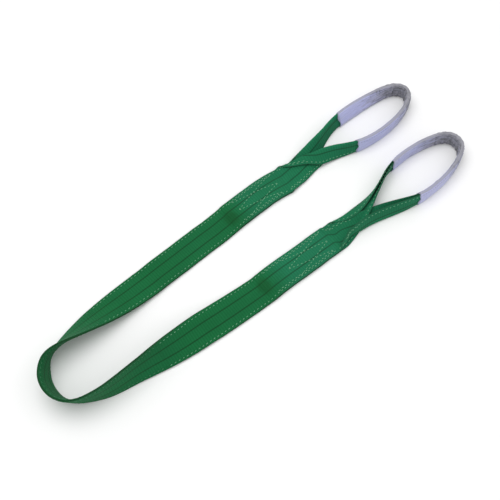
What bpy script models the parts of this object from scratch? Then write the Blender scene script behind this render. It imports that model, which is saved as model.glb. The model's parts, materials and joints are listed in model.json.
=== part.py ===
"""Flat duplex web sling with two folded, sleeved eyes, lying on a floor as a hairpin.

Frame: +X along the hairpin towards the two eyes, +Y towards run A, +Z up, floor at z = 0.
The body is two plies of webbing sewn together along both edges. At each end a third
layer is sewn between them (the splice), and from there the two plies part and are folded
to half width to form the eye, which stands on its edge inside a protective sleeve.
Travelling from eye A round the bend to eye B, "face A" is up on both runs and
outside on the bend, and the inner edge of the webbing rises as it rolls into the bend.
"""

import math

import bpy
import bmesh
import numpy as np
from mathutils import Vector

# ---------------------------------------------------------------- driving dimensions
WEB_WIDTH = 0.060          # nominal webbing width
PLY = 0.0027               # thickness of one ply
SPLICE_LAYER = 0.0024      # thickness of the layer between the plies at each splice
GAP = 0.0004               # clearance between touching pieces
FOLDED_WIDTH = 0.030       # webbing folded lengthwise for the eye
THREAD_RADIUS = 0.00045    # sewing thread
SLEEVE_HEIGHT = 0.0335     # outside height of the eye sleeve
SLEEVE_THICK = 0.0098      # outside thickness of the eye sleeve
SLEEVE_WALL = 0.0012       # wall of the eye sleeve
SEAM_INSET = 0.0050        # seam rows from the webbing's edge
SHIFT = (0.0040, 0.0008)  # puts the middle of the bounding box on the origin

STACK = 2 * PLY + GAP      # thickness of the two plies together

# Route of the body on the floor: x, y (m) and roll of the webbing (degrees, 0 = flat).
ROUTE = (
    (0.152, 0.0795, 0), (0.097, 0.0860, 0), (0.040, 0.0862, 0), (-0.030, 0.0822, 0),
    (-0.110, 0.0790, 0), (-0.190, 0.0755, 2), (-0.240, 0.0732, 7), (-0.285, 0.0715, 18),
    (-0.329, 0.0702, 34), (-0.365, 0.0686, 50), (-0.400, 0.0650, 68), (-0.4185, 0.0585, 80),
    (-0.431, 0.0485, 92), (-0.4410, 0.0360, 102), (-0.4475, 0.0220, 108), (-0.4500, 0.0070, 112),
    (-0.4490, -0.0075, 115), (-0.4440, -0.0210, 117), (-0.4350, -0.0325, 117), (-0.4225, -0.0410, 114),
    (-0.407, -0.0475, 107), (-0.389, -0.0530, 98), (-0.370, -0.0568, 90), (-0.3236, -0.0606, 74),
    (-0.284, -0.0628, 60), (-0.243, -0.0640, 45), (-0.202, -0.0645, 30), (-0.159, -0.0652, 16),
    (-0.114, -0.0665, 6), (-0.068, -0.0680, 1), (-0.010, -0.0685, 0), (0.055, -0.0690, 0),
    (0.132, -0.0710, 0),
)

# Joints, as distances along the route from its eye-A end, and the clearance each needs.
EYE_A_AT, FOLD_A_AT, SWING_A_AT = 0.0045, 0.352, 0.580
EYE_GAP, FOLD_GAP, SWING_GAP = 0.0045, 0.0055, 0.0030

# Splices, as x limits on each run.
SPLICE_A = (0.004, 0.129)
SPLICE_B = (-0.039, 0.109)
STITCH_A = (0.021, 0.118)
STITCH_B = (0.012, 0.107)

# Eyes: x, y (m), width (m) and roll (degrees). The roll is 0 where the ply leaves the top of
# the body, 90 where the folded webbing stands on its edge and 180 where it goes back in below.
EYE_A = (
    (0.1530, 0.0794, 0.060, 0), (0.180, 0.0775, 0.0525, 12), (0.208, 0.0745, 0.0440, 34),
    (0.235, 0.0680, 0.0370, 60), (0.260, 0.0575, 0.0320, 82), (0.284, 0.0478, 0.030, 90),
    (0.313, 0.0415, 0.030, 90), (0.341, 0.0397, 0.030, 90), (0.370, 0.0410, 0.030, 90),
    (0.399, 0.0458, 0.030, 90), (0.426, 0.0552, 0.030, 90), (0.444, 0.0680, 0.030, 90),
    (0.4500, 0.0830, 0.030, 90), (0.4440, 0.0965, 0.030, 90), (0.427, 0.1070, 0.030, 90),
    (0.400, 0.1125, 0.030, 90), (0.370, 0.1145, 0.030, 90), (0.342, 0.1155, 0.030, 90),
    (0.318, 0.1158, 0.030, 90), (0.298, 0.1148, 0.030, 90), (0.280, 0.1125, 0.0305, 92),
    (0.257, 0.1068, 0.0335, 100), (0.232, 0.0995, 0.0385, 118), (0.205, 0.0915, 0.0455, 145),
    (0.178, 0.0840, 0.0535, 168), (0.1530, 0.0794, 0.060, 180),
)
EYE_B = (
    (0.1330, -0.0710, 0.060, 0), (0.160, -0.0760, 0.0545, 8), (0.190, -0.0832, 0.0475, 22),
    (0.220, -0.0922, 0.0410, 44), (0.250, -0.1030, 0.0350, 70), (0.272, -0.1102, 0.0315, 85),
    (0.291, -0.1150, 0.030, 90), (0.313, -0.1172, 0.030, 90), (0.340, -0.1170, 0.030, 90),
    (0.369, -0.1140, 0.030, 90), (0.396, -0.1075, 0.030, 90), (0.420, -0.0985, 0.030, 90),
    (0.4365, -0.0860, 0.030, 90), (0.4425, -0.0700, 0.030, 90), (0.4385, -0.0550, 0.030, 90),
    (0.426, -0.0440, 0.030, 90), (0.402, -0.0355, 0.030, 90), (0.373, -0.0298, 0.030, 90),
    (0.345, -0.0277, 0.030, 90), (0.320, -0.0284, 0.030, 90), (0.303, -0.0304, 0.030, 90),
    (0.286, -0.0345, 0.0302, 92), (0.266, -0.0415, 0.0312, 98), (0.242, -0.0510, 0.0345, 112),
    (0.214, -0.0598, 0.0405, 134), (0.185, -0.0662, 0.0485, 157), (0.158, -0.0700, 0.0555, 172),
    (0.1330, -0.0710, 0.060, 180),
)
# First and last route point of each eye that the sleeve covers, counting from 0.
SLEEVE_A, SLEEVE_B = (5, 19), (6, 20)

# ---------------------------------------------------------------- scene and materials
for old in list(bpy.data.objects):
    bpy.data.objects.remove(old, do_unlink=True)

sling = bpy.data.collections.new("flat_web_sling")
cutters = bpy.data.collections.new("cutters")
for group in (sling, cutters):
    bpy.context.scene.collection.children.link(group)


def material(name, colour, roughness, metallic=0.0):
    m = bpy.data.materials.new(name)
    m.use_nodes = True
    shader = m.node_tree.nodes["Principled BSDF"]
    shader.inputs["Base Color"].default_value = (*colour, 1.0)
    shader.inputs["Roughness"].default_value = roughness
    shader.inputs["Metallic"].default_value = metallic
    m.diffuse_color = (*colour, 1.0)
    return m


GREEN = (0.012, 0.175, 0.052)
UNDER_GREEN = (0.010, 0.140, 0.044)
THREAD = (0.22, 0.50, 0.30)
SLEEVE_GREY = (0.36, 0.36, 0.58)


def finish(obj, colour, roughness):
    obj.data.materials.append(material(obj.name, colour, roughness))
    sling.objects.link(obj)
    return obj


# ---------------------------------------------------------------- route of the body
def spline(knots, values):
    """Natural cubic spline through values at knots, as a function."""
    k, v = np.asarray(knots, float), np.asarray(values, float)
    n, h = len(k), np.diff(np.asarray(knots, float))
    a, b = np.eye(n), np.zeros(n)
    for i in range(1, n - 1):
        a[i, i - 1 : i + 2] = h[i - 1], 2 * (h[i - 1] + h[i]), h[i]
        b[i] = 6 * ((v[i + 1] - v[i]) / h[i] - (v[i] - v[i - 1]) / h[i - 1])
    m = np.linalg.solve(a, b)

    def at(s):
        s = min(max(s, k[0]), k[-1])
        i = min(max(int(np.searchsorted(k, s)) - 1, 0), n - 2)
        p, q, d = k[i + 1] - s, s - k[i], h[i]
        return (
            (m[i] * p**3 + m[i + 1] * q**3) / (6 * d)
            + (v[i] / d - m[i] * d / 6) * p
            + (v[i + 1] / d - m[i + 1] * d / 6) * q
        )

    return at


def chords(points):
    steps = [math.dist(a[:2], b[:2]) for a, b in zip(points, points[1:])]
    return [sum(steps[:i]) for i in range(len(points))]


KNOTS = chords(ROUTE)
route_x = spline(KNOTS, [p[0] + SHIFT[0] for p in ROUTE])
route_y = spline(KNOTS, [p[1] + SHIFT[1] for p in ROUTE])
route_roll = spline(KNOTS, [math.radians(p[2]) for p in ROUTE])
ROUTE_END = KNOTS[-1]
FOLD_B_AT, EYE_B_AT, SWING_B_AT = ROUTE_END - 0.2255, ROUTE_END - 0.0045, 0.6955


def frame(s):
    """Centre of the two plies, direction of travel, width direction and normal of face A."""
    e = 0.0005
    travel = Vector((route_x(s + e) - route_x(s - e), route_y(s + e) - route_y(s - e), 0)).normalized()
    inward = Vector((0, 0, 1)).cross(travel)
    roll = max(route_roll(s), 0.0)
    across = inward * math.cos(roll) + Vector((0, 0, math.sin(roll)))
    normal = inward * -math.sin(roll) + Vector((0, 0, math.cos(roll)))
    height = WEB_WIDTH / 2 * math.sin(roll) + STACK / 2 * abs(math.cos(roll))
    return Vector((route_x(s), route_y(s), height)), travel, across, normal


def smooth(t):
    t = min(max(t, 0.0), 1.0)
    return t * t * (3 - 2 * t)


def lift(s):
    """How far the splice layer raises the top ply."""
    x = route_x(s)
    low, high = SPLICE_A if route_y(s) > 0 else SPLICE_B
    ramp, margin = 0.012, 0.006
    rise = smooth((x - low + ramp + margin) / ramp) * smooth((high - x + ramp + margin) / ramp)
    return (SPLICE_LAYER + GAP) * rise


def stations(s0, s1):
    """Evenly spaced, closer together where the webbing turns or rolls."""
    out, s = [s0], s0
    while s < s1 - 0.004:
        (_, t0, a0, _), (_, t1, a1, _) = frame(s), frame(min(s + 0.012, s1))
        turning = t0.angle(t1) + a0.angle(a1)
        near_splice = max(abs(lift(s) - lift(min(s + d, s1))) for d in (0.008, 0.016, 0.024)) > 1e-5
        s += 0.0075 if turning > 0.10 else 0.006 if near_splice else 0.012 if turning > 0.01 else 0.022
        out.append(s)
    out[-1] = s1
    return out


def strip(name, s0, s1, offset, thickness, colour, width=WEB_WIDTH, rises=True, rows=3):
    """One ply: a grid laid along the route, solidified to the ply's thickness."""
    along = stations(s0, s1)
    bm = bmesh.new()
    bmesh.ops.create_grid(bm, x_segments=len(along) - 1, y_segments=rows, size=1.0)
    bm.verts.ensure_lookup_table()
    for v in bm.verts:
        i = round((v.co.x + 1) / 2 * (len(along) - 1))
        j = v.co.y / 2
        centre, _, across, normal = frame(along[i])
        v.co = centre + normal * (offset + (lift(along[i]) if rises else 0)) + across * (j * width)
    bmesh.ops.triangulate(bm, faces=bm.faces[:], quad_method="FIXED")
    mesh = bpy.data.meshes.new(name)
    bm.to_mesh(mesh)
    bm.free()
    obj = bpy.data.objects.new(name, mesh)
    cloth = obj.modifiers.new("thickness", "SOLIDIFY")
    cloth.thickness = thickness
    cloth.offset = 0.0
    return finish(obj, colour, 0.85)


def thread(name, points):
    """A row of sewing, as one thread."""
    curve = bpy.data.curves.new(name, "CURVE")
    curve.dimensions = "3D"
    curve.bevel_depth = THREAD_RADIUS
    curve.bevel_resolution = 0
    curve.use_fill_caps = True
    line = curve.splines.new("POLY")
    line.points.add(len(points) - 1)
    for p, co in zip(line.points, points):
        p.co = (*co, 1)
    return finish(bpy.data.objects.new(name, curve), THREAD, 0.6)


def on_face(s, v):
    """A point of a sewing row: v runs from -0.5 at the floor edge to 0.5 at the inner edge."""
    centre, _, across, normal = frame(s)
    height = STACK / 2 + lift(s) + THREAD_RADIUS + GAP
    return centre + normal * height + across * (v * WEB_WIDTH)


# ---------------------------------------------------------------- body, in five stretches
SEGMENTS = (
    ("run_a_end", EYE_A_AT + EYE_GAP, FOLD_A_AT - FOLD_GAP),
    ("run_a_mid", FOLD_A_AT + FOLD_GAP, SWING_A_AT - SWING_GAP),
    ("bend", SWING_A_AT + SWING_GAP, SWING_B_AT - SWING_GAP),
    ("run_b_mid", SWING_B_AT + SWING_GAP, FOLD_B_AT - FOLD_GAP),
    ("run_b_end", FOLD_B_AT + FOLD_GAP, EYE_B_AT - EYE_GAP),
)
EDGE = 0.5 - SEAM_INSET / WEB_WIDTH
for segment, start, end in SEGMENTS:
    strip(segment + "_top_ply", start, end, (PLY + GAP) / 2, PLY, GREEN)
    strip(segment + "_bottom_ply", start, end, -(PLY + GAP) / 2, PLY, UNDER_GREEN, rises=False)
    for edge, side in (("outer", -1), ("inner", 1)):
        row = [on_face(s, side * EDGE) for s in stations(start + 0.003, end - 0.003)]
        thread(f"{segment}_{edge}_edge_seam", row)


def route_at(x, run_a):
    """Distance along the route of the point at x on one of the runs."""
    low, high = (0.0, SWING_A_AT) if run_a else (SWING_B_AT, ROUTE_END)
    for _ in range(50):
        mid = (low + high) / 2
        if (route_x(mid) > x) == run_a:
            low = mid
        else:
            high = mid
    return low


for letter, limits, stitch in (("a", SPLICE_A, STITCH_A), ("b", SPLICE_B, STITCH_B)):
    run_a = letter == "a"
    s0, s1 = sorted(route_at(x, run_a) for x in limits)
    strip(f"splice_layer_{letter}", s0, s1, (GAP + SPLICE_LAYER) / 2, SPLICE_LAYER, UNDER_GREEN,
          width=WEB_WIDTH - 0.006, rises=False)
    for side, v0 in (("outer", -1), ("inner", 1)):
        row = [on_face(s, v0 * (EDGE - 0.045)) for s in stations(s0 + 0.004, s1 - 0.006)]
        thread(f"splice_{letter}_{side}_second_row", row)
    # The crossing V rows: body side to eye side, across the width v.
    b0, e0 = (route_at(x, run_a) for x in stitch)
    left = 1 if not run_a else -1
    for vee, corners in (("p", ((0, 0.16), (1, 0.50), (0, 0.84))), ("q", ((1, 0.16), (0, 0.50), (1, 0.84)))):
        row = []
        for (u0, v0), (u1, v1) in zip(corners, corners[1:]):
            for k in range(0 if not row else 1, 7):
                u, v = u0 + (u1 - u0) * k / 6, v0 + (v1 - v0) * k / 6
                point = on_face(b0 + (e0 - b0) * u, left * (0.5 - v))
                raised = 2 * THREAD_RADIUS + GAP if vee == "p" else 0.0
                row.append(point + Vector((0, 0, raised)))
        thread(f"splice_{letter}_{vee}_vee_seam", row)


# ---------------------------------------------------------------- eyes
def eye_frames(points, first, last, sleeve, step):
    """Frames along the eye from control point first to last: centre, width direction, normal, width, roll."""
    knots = chords(points)
    x = spline(knots, [p[0] + SHIFT[0] for p in points])
    y = spline(knots, [p[1] + SHIFT[1] for p in points])
    width = spline(knots, [p[2] for p in points])
    roll = spline(knots, [math.radians(p[3]) for p in points])
    a, b = knots[first], knots[last]
    s0, s1 = knots[sleeve[0]], knots[sleeve[1]]
    count = max(int((b - a) / step), 2)
    out = []
    for i in range(count + 1):
        s = a + (b - a) * i / count
        e = 0.0005
        low, high = max(s - e, 0.0), min(s + e, knots[-1])
        travel = Vector((x(high) - x(low), y(high) - y(low), 0)).normalized()
        outward = travel.cross(Vector((0, 0, 1)))
        r = min(max(roll(s), 0.0), math.pi)
        w = min(max(width(s), FOLDED_WIDTH), WEB_WIDTH)
        normal = outward * math.sin(r) + Vector((0, 0, math.cos(r)))
        across = travel.cross(normal)
        thick = WEB_WIDTH * PLY / w
        under = (PLY + GAP) * (1 - smooth(s / (0.75 * s0)))
        cover = (SLEEVE_WALL + 0.0006) * smooth((s - s0 + 0.03) / 0.03) * smooth((s1 - s + 0.03) / 0.03)
        height = under + cover + w / 2 * math.sin(r) + thick / 2 * abs(math.cos(r))
        out.append((Vector((x(s), y(s), height)), across, normal, w, thick, outward))
    return out


def loft(name, rings, colour):
    """Joins unlike rectangles into one solid: the ply goes from flat and full width to folded and upright."""
    bm = bmesh.new()
    loops = [[bm.verts.new(p) for p in ring] for ring in rings]
    n = len(loops[0])
    for a, b in zip(loops, loops[1:]):
        for i in range(n):
            j = (i + 1) % n
            bm.faces.new((a[i], b[i], b[j]))
            bm.faces.new((a[i], b[j], a[j]))
    bm.faces.new(loops[0])
    bm.faces.new(loops[-1][::-1])
    bmesh.ops.recalc_face_normals(bm, faces=bm.faces[:])
    mesh = bpy.data.meshes.new(name)
    bm.to_mesh(mesh)
    bm.free()
    return finish(bpy.data.objects.new(name, mesh), colour, 0.85)


def section(centre, across, normal, w, thick):
    """Rectangle with eased corners, split once across so that it twists evenly."""
    c = 0.22 * thick
    outline = [(-w / 2 + c, -thick / 2), (0, -thick / 2), (w / 2 - c, -thick / 2), (w / 2, -thick / 2 + c),
               (w / 2, thick / 2 - c), (w / 2 - c, thick / 2), (0, thick / 2), (-w / 2 + c, thick / 2),
               (-w / 2, thick / 2 - c), (-w / 2, -thick / 2 + c)]
    return [centre + across * u + normal * v for u, v in outline]


def sleeve(name, points, limits):
    """A flattened tube of cloth: an open surface round the folded webbing, solidified."""
    frames = eye_frames(points, limits[0], limits[1], limits, 0.0085)
    w, t, r = SLEEVE_HEIGHT - SLEEVE_WALL, SLEEVE_THICK - SLEEVE_WALL, 0.0032
    outline = []
    for cx, cy, start in ((w / 2 - r, t / 2 - r, 0), (-w / 2 + r, t / 2 - r, 90),
                          (-w / 2 + r, -t / 2 + r, 180), (w / 2 - r, -t / 2 + r, 270)):
        for k in range(3):
            angle = math.radians(start + 45 * k)
            outline.append((cx + r * math.cos(angle), cy + r * math.sin(angle)))
    bm = bmesh.new()
    loops = []
    for centre, across, normal, _, _, outward in frames:
        middle = Vector((centre.x, centre.y, SLEEVE_HEIGHT / 2))
        loops.append([bm.verts.new(middle + Vector((0, 0, u)) + outward * v) for u, v in outline])
    for a, b in zip(loops, loops[1:]):
        for i in range(len(outline)):
            j = (i + 1) % len(outline)
            bm.faces.new((a[i], a[j], b[j], b[i]))
    bmesh.ops.recalc_face_normals(bm, faces=bm.faces[:])
    mesh = bpy.data.meshes.new(name)
    bm.to_mesh(mesh)
    bm.free()
    obj = bpy.data.objects.new(name, mesh)
    cloth = obj.modifiers.new("thickness", "SOLIDIFY")
    cloth.thickness = SLEEVE_WALL
    cloth.offset = 0.0
    return finish(obj, SLEEVE_GREY, 0.9)


for letter, points, limits in (("a", EYE_A, SLEEVE_A), ("b", EYE_B, SLEEVE_B)):
    frames = eye_frames(points, 0, len(points) - 1, limits, 0.0080)
    loft(f"eye_{letter}_webbing", [section(*f[:5]) for f in frames], GREEN)
    sleeve(f"eye_{letter}_sleeve", points, limits)
    # Row of sewing that closes the sleeve, on its outer face below the top edge.
    row = [Vector((f[0].x, f[0].y, SLEEVE_HEIGHT - 0.0065)) + f[5] * (SLEEVE_THICK / 2 + THREAD_RADIUS + 2 * GAP)
           for f in eye_frames(points, limits[0], limits[1], limits, 0.0085)]
    thread(f"eye_{letter}_sleeve_seam", row[1:-1])
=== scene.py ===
"""Looks of the flat duplex web sling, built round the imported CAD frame.

Two plies of ribbed polyester webbing with two dark guide stripes, sewn together along both
edges, spliced towards each end, and folded lengthwise in half to form two eyes inside
lavender-grey sleeves. Everything is in metres, in the row frame of the CAD.
"""
import json
import math

import bpy
import bmesh
import numpy as np
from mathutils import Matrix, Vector

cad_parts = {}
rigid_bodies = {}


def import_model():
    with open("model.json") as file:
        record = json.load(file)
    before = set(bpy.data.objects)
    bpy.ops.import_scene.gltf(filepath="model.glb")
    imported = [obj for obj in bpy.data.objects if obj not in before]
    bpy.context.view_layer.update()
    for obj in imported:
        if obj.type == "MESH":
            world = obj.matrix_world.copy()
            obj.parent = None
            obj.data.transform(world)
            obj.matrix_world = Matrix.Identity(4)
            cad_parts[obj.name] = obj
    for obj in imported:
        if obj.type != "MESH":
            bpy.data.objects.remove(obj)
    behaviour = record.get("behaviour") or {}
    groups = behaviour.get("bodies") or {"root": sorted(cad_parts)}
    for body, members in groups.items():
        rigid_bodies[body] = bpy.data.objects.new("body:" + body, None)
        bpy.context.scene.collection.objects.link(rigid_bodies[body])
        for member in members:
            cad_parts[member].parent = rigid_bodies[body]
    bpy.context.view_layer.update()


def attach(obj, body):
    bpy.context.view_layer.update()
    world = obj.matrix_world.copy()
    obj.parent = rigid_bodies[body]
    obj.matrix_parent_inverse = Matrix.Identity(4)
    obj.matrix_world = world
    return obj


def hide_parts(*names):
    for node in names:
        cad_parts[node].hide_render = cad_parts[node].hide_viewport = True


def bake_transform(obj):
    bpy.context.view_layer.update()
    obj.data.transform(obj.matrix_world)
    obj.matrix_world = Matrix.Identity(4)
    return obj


for start_up in list(bpy.data.objects):
    bpy.data.objects.remove(start_up, do_unlink=True)

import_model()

# ------------------------------------------------------------------ sizes, as in the CAD
WIDTH, PLY, SPLICE_LAYER, GAP = 0.060, 0.0027, 0.0024, 0.0004
SLEEVE_HEIGHT, SLEEVE_THICK, SLEEVE_WALL = 0.0335, 0.0098, 0.0012
STACK = 2 * PLY + GAP
SHIFT = (0.0040, 0.0008)
HALF = WIDTH / 2
RIB = 0.00488              # pitch of the crosswise ribs
STEP = RIB / 4             # distance between stations
SEAM = 0.0250              # sewing rows, from the middle of the webbing
STITCH, PITCH = 0.0041, 0.0079
FOLD_RADIUS = 0.0015       # middle surface of the ply where it is folded in half

ROUTE = (
    (0.152, 0.0795, 0), (0.097, 0.0860, 0), (0.040, 0.0862, 0), (-0.030, 0.0822, 0),
    (-0.110, 0.0790, 0), (-0.190, 0.0755, 2), (-0.240, 0.0732, 7), (-0.285, 0.0715, 18),
    (-0.329, 0.0702, 34), (-0.365, 0.0686, 50), (-0.400, 0.0650, 68), (-0.4185, 0.0585, 80),
    (-0.431, 0.0485, 91), (-0.4410, 0.0360, 98), (-0.4475, 0.0220, 103), (-0.4500, 0.0070, 106),
    (-0.4490, -0.0075, 107), (-0.4440, -0.0210, 107), (-0.4350, -0.0325, 106), (-0.4225, -0.0410, 103),
    (-0.407, -0.0475, 98), (-0.389, -0.0530, 92), (-0.370, -0.0568, 86), (-0.3236, -0.0606, 74),
    (-0.284, -0.0628, 60), (-0.243, -0.0640, 45), (-0.202, -0.0645, 30), (-0.159, -0.0652, 16),
    (-0.114, -0.0665, 6), (-0.068, -0.0680, 1), (-0.010, -0.0685, 0), (0.055, -0.0690, 0),
    (0.132, -0.0710, 0),
)
SPLICE_A, SPLICE_B = (0.004, 0.129), (-0.039, 0.109)
STITCH_A, STITCH_B = (0.021, 0.118), (0.012, 0.107)

# Eyes: x, y, then the directions in degrees of the webbing on each side of its lengthwise fold,
# and where the fold lies across it, in mm from the middle. For directions 0 points out of the
# loop, 90 up, 180 into the loop and -90 down. The fold starts at one edge and runs to the middle.
EYE_A = (
    (0.1530, 0.0794, -8, 2, -20), (0.180, 0.0780, -22, -12, -11), (0.208, 0.0745, -40, -32, -2),
    (0.235, 0.0675, -58, -52, 0), (0.260, 0.0575, -74, -71, 0), (0.284, 0.0478, -86, -84, 0),
    (0.313, 0.0415, -90, -89, 0), (0.341, 0.0397, -90, -90, 0), (0.370, 0.0410, -90, -90, 0),
    (0.399, 0.0458, -90, -90, 0), (0.426, 0.0552, -90, -90, 0), (0.444, 0.0680, -90, -90, 0),
    (0.4500, 0.0830, -90, -90, 0), (0.4440, 0.0965, -91, -91, 0), (0.427, 0.1070, -95, -95, 0),
    (0.400, 0.1125, -100, -100, 0), (0.370, 0.1160, -105, -105, 0), (0.342, 0.1175, -109, -109, 0),
    (0.318, 0.1180, -110, -110, 0), (0.298, 0.1172, -109, -108, 0), (0.280, 0.1150, -109, -107, 0),
    (0.257, 0.1092, -113, -110, -1), (0.232, 0.1015, -124, -120, -4), (0.205, 0.0945, -146, -141, -6),
    (0.178, 0.0880, -166, -161, -12), (0.1530, 0.0825, -177, -173, -19),
)
EYE_B = (
    (0.1330, -0.0692, 106, 180, 13), (0.160, -0.0730, 106, 174, 6), (0.190, -0.0800, 107, 156, 1),
    (0.220, -0.0893, 108, 138, 0), (0.250, -0.1008, 106, 120, 0), (0.272, -0.1090, 100, 106, 0),
    (0.291, -0.1148, 94, 96, 0), (0.313, -0.1172, 90, 90, 0), (0.340, -0.1170, 90, 90, 0),
    (0.369, -0.1140, 90, 90, 0), (0.396, -0.1075, 90, 90, 0), (0.420, -0.0985, 90, 90, 0),
    (0.4365, -0.0860, 90, 90, 0), (0.4425, -0.0700, 90, 90, 0), (0.4385, -0.0550, 90, 90, 0),
    (0.426, -0.0440, 90, 90, 0), (0.402, -0.0355, 90, 90, 0), (0.373, -0.0298, 90, 90, 0),
    (0.345, -0.0277, 90, 90, 0), (0.320, -0.0284, 90, 90, 0), (0.303, -0.0304, 91, 93, 0),
    (0.286, -0.0345, 93, 97, 0), (0.266, -0.0418, 97, 102, 0), (0.242, -0.0508, 104, 112, 1),
    (0.214, -0.0592, 124, 134, 4), (0.185, -0.0658, 152, 162, 9), (0.158, -0.0700, 168, 177, 17),
    (0.1330, -0.0710, 174, 180, 28),
)
# The same three values over the last of the body, from 30 mm before the cut to 18 mm after it.
LEAD_A = ((0, 8, -38), (0, 8, -38), (0, 8, -37), (0, 8, -34), (-1, 7, -31.5), (-3, 6, -28.5), (-5, 4, -25))
BACK_A = tuple((-180, -176, f) for f in (-38, -38, -37, -34, -31, -28, -25))
LEAD_B = ((174, 180, 38), (174, 180, 38), (170, 180, 36), (156, 180, 32), (138, 180, 27), (120, 180, 22), (110, 180, 17))
BACK_B = tuple((174, 180, f) for f in (38, 38, 37, 36, 35, 34, 32))
SLEEVE_A, SLEEVE_B = (5, 19), (6, 20)


# ------------------------------------------------------------------ curves
def spline(knots, values):
    """Natural cubic spline through values at knots, for arrays."""
    k, v = np.asarray(knots, float), np.asarray(values, float)
    n, h = len(k), np.diff(np.asarray(knots, float))
    a, b = np.eye(n), np.zeros(n)
    for i in range(1, n - 1):
        a[i, i - 1:i + 2] = h[i - 1], 2 * (h[i - 1] + h[i]), h[i]
        b[i] = 6 * ((v[i + 1] - v[i]) / h[i] - (v[i] - v[i - 1]) / h[i - 1])
    m = np.linalg.solve(a, b)

    def at(s):
        s = np.clip(np.asarray(s, float), k[0], k[-1])
        i = np.clip(np.searchsorted(k, s) - 1, 0, n - 2)
        p, q, d = k[i + 1] - s, s - k[i], h[i]
        return ((m[i] * p ** 3 + m[i + 1] * q ** 3) / (6 * d)
                + (v[i] / d - m[i] * d / 6) * p + (v[i + 1] / d - m[i + 1] * d / 6) * q)

    return at


def chords(points):
    steps = [math.dist(a[:2], b[:2]) for a, b in zip(points, points[1:])]
    return [sum(steps[:i]) for i in range(len(points))]


def smooth(t):
    t = np.clip(t, 0.0, 1.0)
    return t * t * (3 - 2 * t)


def wander(s, seed, length):
    """Smooth repeatable variation from about -1 to 1 along s."""
    rng = np.random.default_rng(seed)
    total = np.zeros_like(np.asarray(s, float))
    for octave in (1.0, 0.53, 0.27):
        for _ in range(2):
            total = total + octave * np.sin(np.asarray(s) / (length * octave) * rng.uniform(4.5, 7.5)
                                            + rng.uniform(0, 2 * math.pi))
    return total / 2.6


KNOTS = chords(ROUTE)
route_x = spline(KNOTS, [p[0] + SHIFT[0] for p in ROUTE])
route_y = spline(KNOTS, [p[1] + SHIFT[1] for p in ROUTE])
route_roll = spline(KNOTS, [math.radians(p[2]) for p in ROUTE])
ROUTE_END = KNOTS[-1]
# How much more the inner edge is rolled than the middle, in degrees: the webbing cups as it turns up.
route_cup = spline((0.0, 0.30, 0.42, 0.50, 0.56, 0.62, 0.70, 0.76, 0.81, 0.86, 0.93, 1.00, 1.08, ROUTE_END),
                   (0.0, 0.0, 5.0, 12.0, 10.0, 3.0, 2.0, 8.0, 21.0, 15.0, 8.0, 3.0, 0.0, 0.0))


def route_at(x, run_a):
    """Distance along the route of the point at x on one of the runs."""
    low, high = (0.0, 0.58) if run_a else (0.6955, ROUTE_END)
    for _ in range(50):
        mid = (low + high) / 2
        if (float(route_x(mid)) > x) == run_a:
            low = mid
        else:
            high = mid
    return low


def on_pitch(s):
    return round(s / RIB) * RIB


def splice_lift(s, u):
    """How far the splice layer raises the top ply at distance s and across position u."""
    x, y = route_x(s), route_y(s)
    low = np.where(y > 0, SPLICE_A[0], SPLICE_B[0])
    high = np.where(y > 0, SPLICE_A[1], SPLICE_B[1])
    skew = 0.05 * u + 0.0012 * wander(u + y, 5, 0.05)
    rise = smooth((x - low + skew + 0.012) / 0.009) * smooth((high - x + 0.018) / 0.012)
    edge = 1 - 0.30 * smooth((np.abs(u) - 0.024) / 0.005)
    return (SPLICE_LAYER + GAP) * rise * edge


def ribs(s):
    """1 on a rib and -1 in the groove between two."""
    return 1 - 2 * np.exp(-((((s / RIB) % 1.0 - 0.5) * RIB) / 0.0008) ** 2)


def rib_height(s, u):
    fade = 1 - smooth((np.abs(u) - 0.0275) / 0.002)
    stripe = 1 - 0.6 * np.exp(-((np.abs(u) - 0.0098) / 0.0012) ** 2)
    return 0.00011 * ribs(s + 0.0004 * wander(u, 8, 0.03)) * fade * stripe


def body(s, u):
    """Points of the middle of the two plies, normal of face A, travel and across, for arrays s (n) and u (m)."""
    e = 0.0005
    tx, ty = route_x(s + e) - route_x(s - e), route_y(s + e) - route_y(s - e)
    length = np.hypot(tx, ty)
    tx, ty = tx / length, ty / length
    roll = np.maximum(route_roll(s), 0.0)
    cup = np.radians(np.maximum(route_cup(s), 0.05))
    theta = roll[:, None] + cup[:, None] * (2 * u / WIDTH)[None, :]
    # The section starts at its outer edge, on the floor, and turns evenly towards the inner edge.
    first, c2 = roll - cup, 2 * cup
    h = WIDTH * (np.sin(theta) - np.sin(first)[:, None]) / c2[:, None]
    z = -WIDTH * (np.cos(theta) - np.cos(first)[:, None]) / c2[:, None]
    h = h - HALF * np.cos(roll)[:, None]
    z = z + 0.0025 * np.abs(np.cos(first))[:, None]
    ease = smooth(np.degrees(roll) / 12)
    h = h + 0.0007 * (wander(s, 21, 0.16) * (1 - 0.5 * ease))[:, None]
    inward = np.stack([-ty, tx], -1)
    p = np.empty(theta.shape + (3,))
    p[..., 0] = route_x(s)[:, None] + inward[:, 0, None] * h
    p[..., 1] = route_y(s)[:, None] + inward[:, 1, None] * h
    p[..., 2] = z
    n = np.empty_like(p)
    n[..., 0], n[..., 1] = -inward[:, 0, None] * np.sin(theta), -inward[:, 1, None] * np.sin(theta)
    n[..., 2] = np.cos(theta)
    a = np.empty_like(p)
    a[..., 0], a[..., 1] = inward[:, 0, None] * np.cos(theta), inward[:, 1, None] * np.cos(theta)
    a[..., 2] = np.sin(theta)
    t = np.broadcast_to(np.stack([tx, ty, 0 * tx], -1)[:, None, :], p.shape)
    return p, n, t, a


def ply_thickness(u):
    """The webbing is thinner towards its selvedges."""
    return 0.0023 - 0.0006 * smooth((np.abs(u) - 0.0235) / 0.004)


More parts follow.
